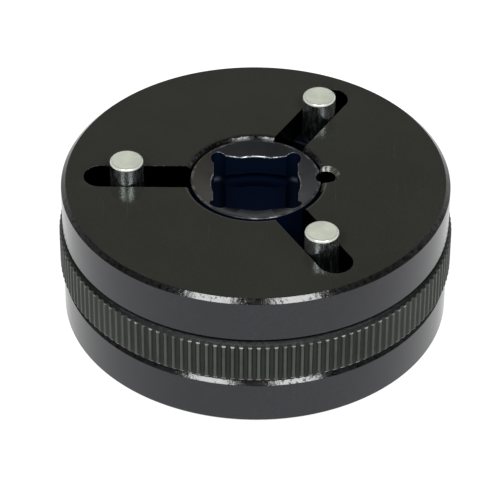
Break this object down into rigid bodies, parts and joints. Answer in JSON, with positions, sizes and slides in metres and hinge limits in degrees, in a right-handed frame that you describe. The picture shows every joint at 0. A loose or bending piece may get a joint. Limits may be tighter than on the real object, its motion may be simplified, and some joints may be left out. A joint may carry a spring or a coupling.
{
  "type": "adjustable three-pin wrench",
  "caption": "Round self-centring pin wrench: a knurled ring between two dark steel discs moves the pins along radial slots; a square drive hole goes through the hub.",
  "frame": {"origin": "centre of the lower disc's underside, on the wrench's own axis", "axes": "+Z along the drive axis, from the drive side to the pins; +X from the axis to the key screw's side, midway between two slots; one pin slot runs along -X"},
  "size_m": [0.06, 0.06, 0.0266],
  "materials": {
    "black_steel": "turned and blackened, oiled, slightly glossy, edges worn bright in places",
    "black_hub_steel": "blackened, satin",
    "black_knurl_steel": "straight knurled and blackened, crests rubbed grey",
    "bright_pin_steel": "ground bright steel, satin ends",
    "screw_steel": "blackened",
    "spring_steel": "hardened, plain",
    "bronze": "plain bearing bronze"
  },
  "bodies": {
    "housing": {"upper_plate": "black_steel", "lower_plate": "black_steel", "drive_hub": "black_hub_steel", "thrust_washer": "bronze", "wave_washer": "spring_steel", "upper_key_screw": "screw_steel", "lower_key_screw": "screw_steel"},
    "ring": {"adjusting_ring": "black_knurl_steel"},
    "pin_1": {"drive_pin_1": "bright_pin_steel", "slide_block_1": "screw_steel", "follower_bush_1": "spring_steel", "pin_clip_1": "spring_steel"},
    "pin_2": {"drive_pin_2": "bright_pin_steel", "slide_block_2": "screw_steel", "follower_bush_2": "spring_steel", "pin_clip_2": "spring_steel"},
    "pin_3": {"drive_pin_3": "bright_pin_steel", "slide_block_3": "screw_steel", "follower_bush_3": "spring_steel", "pin_clip_3": "spring_steel"}
  },
  "joints": [
    {"name": "ring_turn", "type": "hinge", "parent": "housing", "child": "ring", "pos_m": [0, 0, 0.01175], "axis": [0, 0, 1], "range_deg": [-56, 48]},
    {"name": "pin_1_slide", "type": "slide", "parent": "housing", "child": "pin_1", "axis": [0.5, 0.866, 0], "range_m": [-0.0045, 0.00386]},
    {"name": "pin_2_slide", "type": "slide", "parent": "housing", "child": "pin_2", "axis": [-1, 0, 0], "range_m": [-0.0045, 0.00386]},
    {"name": "pin_3_slide", "type": "slide", "parent": "housing", "child": "pin_3", "axis": [0.5, -0.866, 0], "range_m": [-0.0045, 0.00386]}
  ],
  "couplings": [
    {"joint": "pin_1_slide", "follows": "ring_turn", "m_per_rad": 0.0046},
    {"joint": "pin_2_slide", "follows": "ring_turn", "m_per_rad": 0.0046},
    {"joint": "pin_3_slide", "follows": "ring_turn", "m_per_rad": 0.0046}
  ]
}
